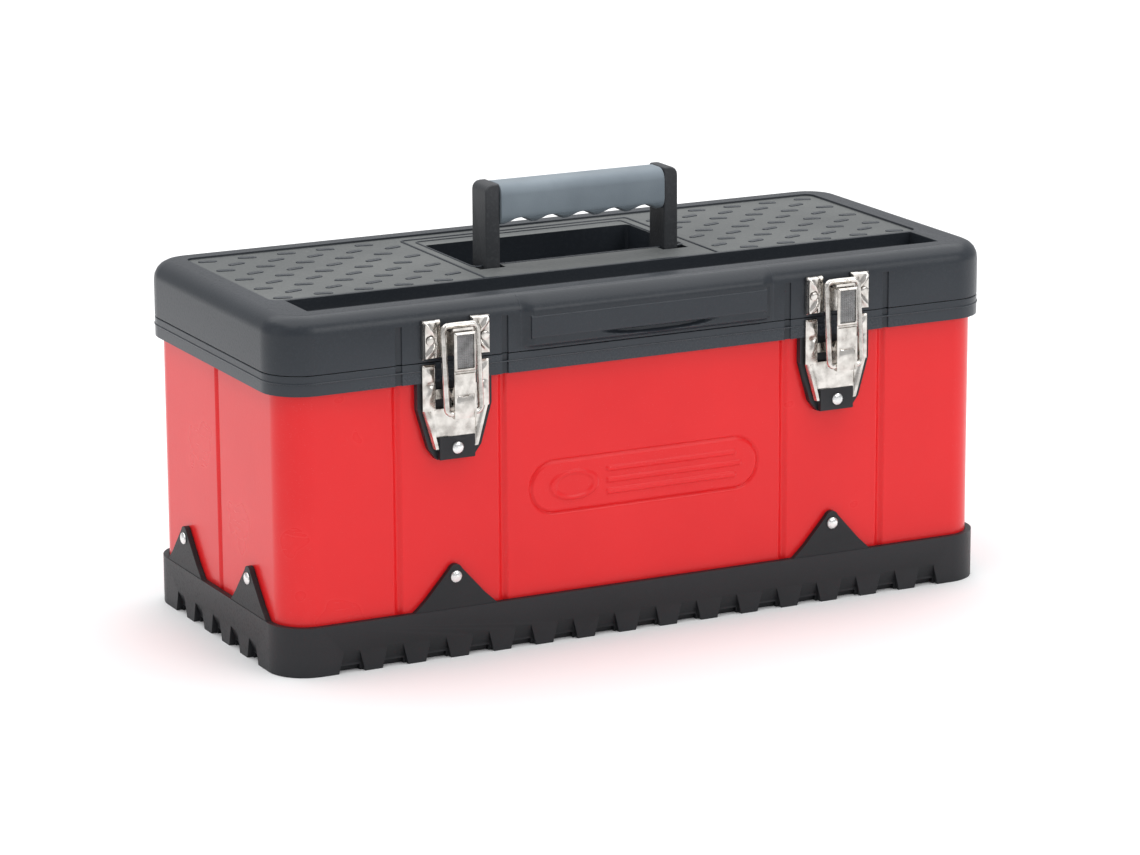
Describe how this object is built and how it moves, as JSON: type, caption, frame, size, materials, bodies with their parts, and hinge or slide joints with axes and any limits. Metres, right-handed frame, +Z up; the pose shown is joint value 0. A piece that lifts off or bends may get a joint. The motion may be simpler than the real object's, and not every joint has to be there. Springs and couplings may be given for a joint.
{
  "type": "toolbox",
  "caption": "Sheet-steel toolbox with moulded lid, rim and base, two wire-bail latches, a folding handle and a lift-out tray.",
  "frame": {"origin": "middle of the object's footprint, on the surface that it stands on", "axes": "+X along the box to its right as seen from the front, -Y towards the latches, +Z up"},
  "size_m": [0.4812, 0.2354, 0.264],
  "materials": {
    "black_plastic": "fine grain, semi-matt",
    "slate_plastic": "fine grain, satin",
    "red_paint": "gloss paint",
    "nickel_plate": "bright nickel plate",
    "bright_steel": "bright",
    "grey_rubber": "satin",
    "grey_plastic": "satin"
  },
  "bodies": {
    "box": {"base_tray": "black_plastic", "steel_body": "red_paint", "rim_frame": "slate_plastic", "hinge_pin_left": "bright_steel", "hinge_pin_right": "bright_steel", "latch_plate_left": "nickel_plate", "latch_plate_right": "nickel_plate", "lever_pin_left": "bright_steel", "lever_pin_right": "bright_steel", "latch_rivet_lower_left": "bright_steel", "latch_rivet_lower_right": "bright_steel", "latch_rivet_upper_left": "bright_steel", "latch_rivet_upper_right": "bright_steel", "tab_rivet_front_left": "bright_steel", "tab_rivet_back_left": "bright_steel", "tab_rivet_left_front": "bright_steel", "tab_rivet_left_back": "bright_steel", "tab_rivet_front_right": "bright_steel", "tab_rivet_back_right": "bright_steel", "tab_rivet_right_front": "bright_steel", "tab_rivet_right_back": "bright_steel"},
    "lid": {"lid_shell": "slate_plastic", "keeper_plate_left": "nickel_plate", "keeper_plate_right": "nickel_plate", "keeper_rivet_left_left": "bright_steel", "keeper_rivet_left_right": "bright_steel", "keeper_rivet_right_left": "bright_steel", "keeper_rivet_right_right": "bright_steel", "handle_pin_left": "bright_steel", "handle_pin_right": "bright_steel"},
    "handle": {"handle_frame": "black_plastic", "handle_grip": "grey_rubber"},
    "lever_left": {"latch_lever_left": "nickel_plate"},
    "lever_right": {"latch_lever_right": "nickel_plate"},
    "bail_left": {"latch_bail_left": "nickel_plate"},
    "bail_right": {"latch_bail_right": "nickel_plate"},
    "tray": {"tote_tray": "grey_plastic", "tray_divider_left": "grey_plastic", "tray_divider_right": "grey_plastic"}
  },
  "joints": [
    {"name": "lid_hinge", "type": "hinge", "parent": "box", "child": "lid", "pos_m": [0, 0.1133, 0.18115], "axis": [-1, 0, 0], "range_deg": [0, 100]},
    {"name": "handle_fold", "type": "hinge", "parent": "lid", "child": "handle", "pos_m": [0, -0.0059, 0.2035], "axis": [-1, 0, 0], "range_deg": [0, 90]},
    {"name": "lever_left_flip", "type": "hinge", "parent": "box", "child": "lever_left", "pos_m": [-0.128, -0.1134, 0.158], "axis": [1, 0, 0], "range_deg": [0, 110]},
    {"name": "bail_left_swing", "type": "hinge", "parent": "lever_left", "child": "bail_left", "pos_m": [-0.128, -0.11444, 0.15209], "axis": [-1, 0, 0], "range_deg": [0, 96.8]},
    {"name": "lever_right_flip", "type": "hinge", "parent": "box", "child": "lever_right", "pos_m": [0.128, -0.1134, 0.158], "axis": [1, 0, 0], "range_deg": [0, 110]},
    {"name": "bail_right_swing", "type": "hinge", "parent": "lever_right", "child": "bail_right", "pos_m": [0.128, -0.11444, 0.15209], "axis": [-1, 0, 0], "range_deg": [0, 96.8]},
    {"name": "tray_lift", "type": "slide", "parent": "box", "child": "tray", "axis": [0, 0, 1], "range_m": [0, 0.015]}
  ],
  "couplings": [
    {"joint": "bail_left_swing", "follows": "lever_left_flip", "ratio": 0.88},
    {"joint": "bail_right_swing", "follows": "lever_right_flip", "ratio": 0.88}
  ]
}
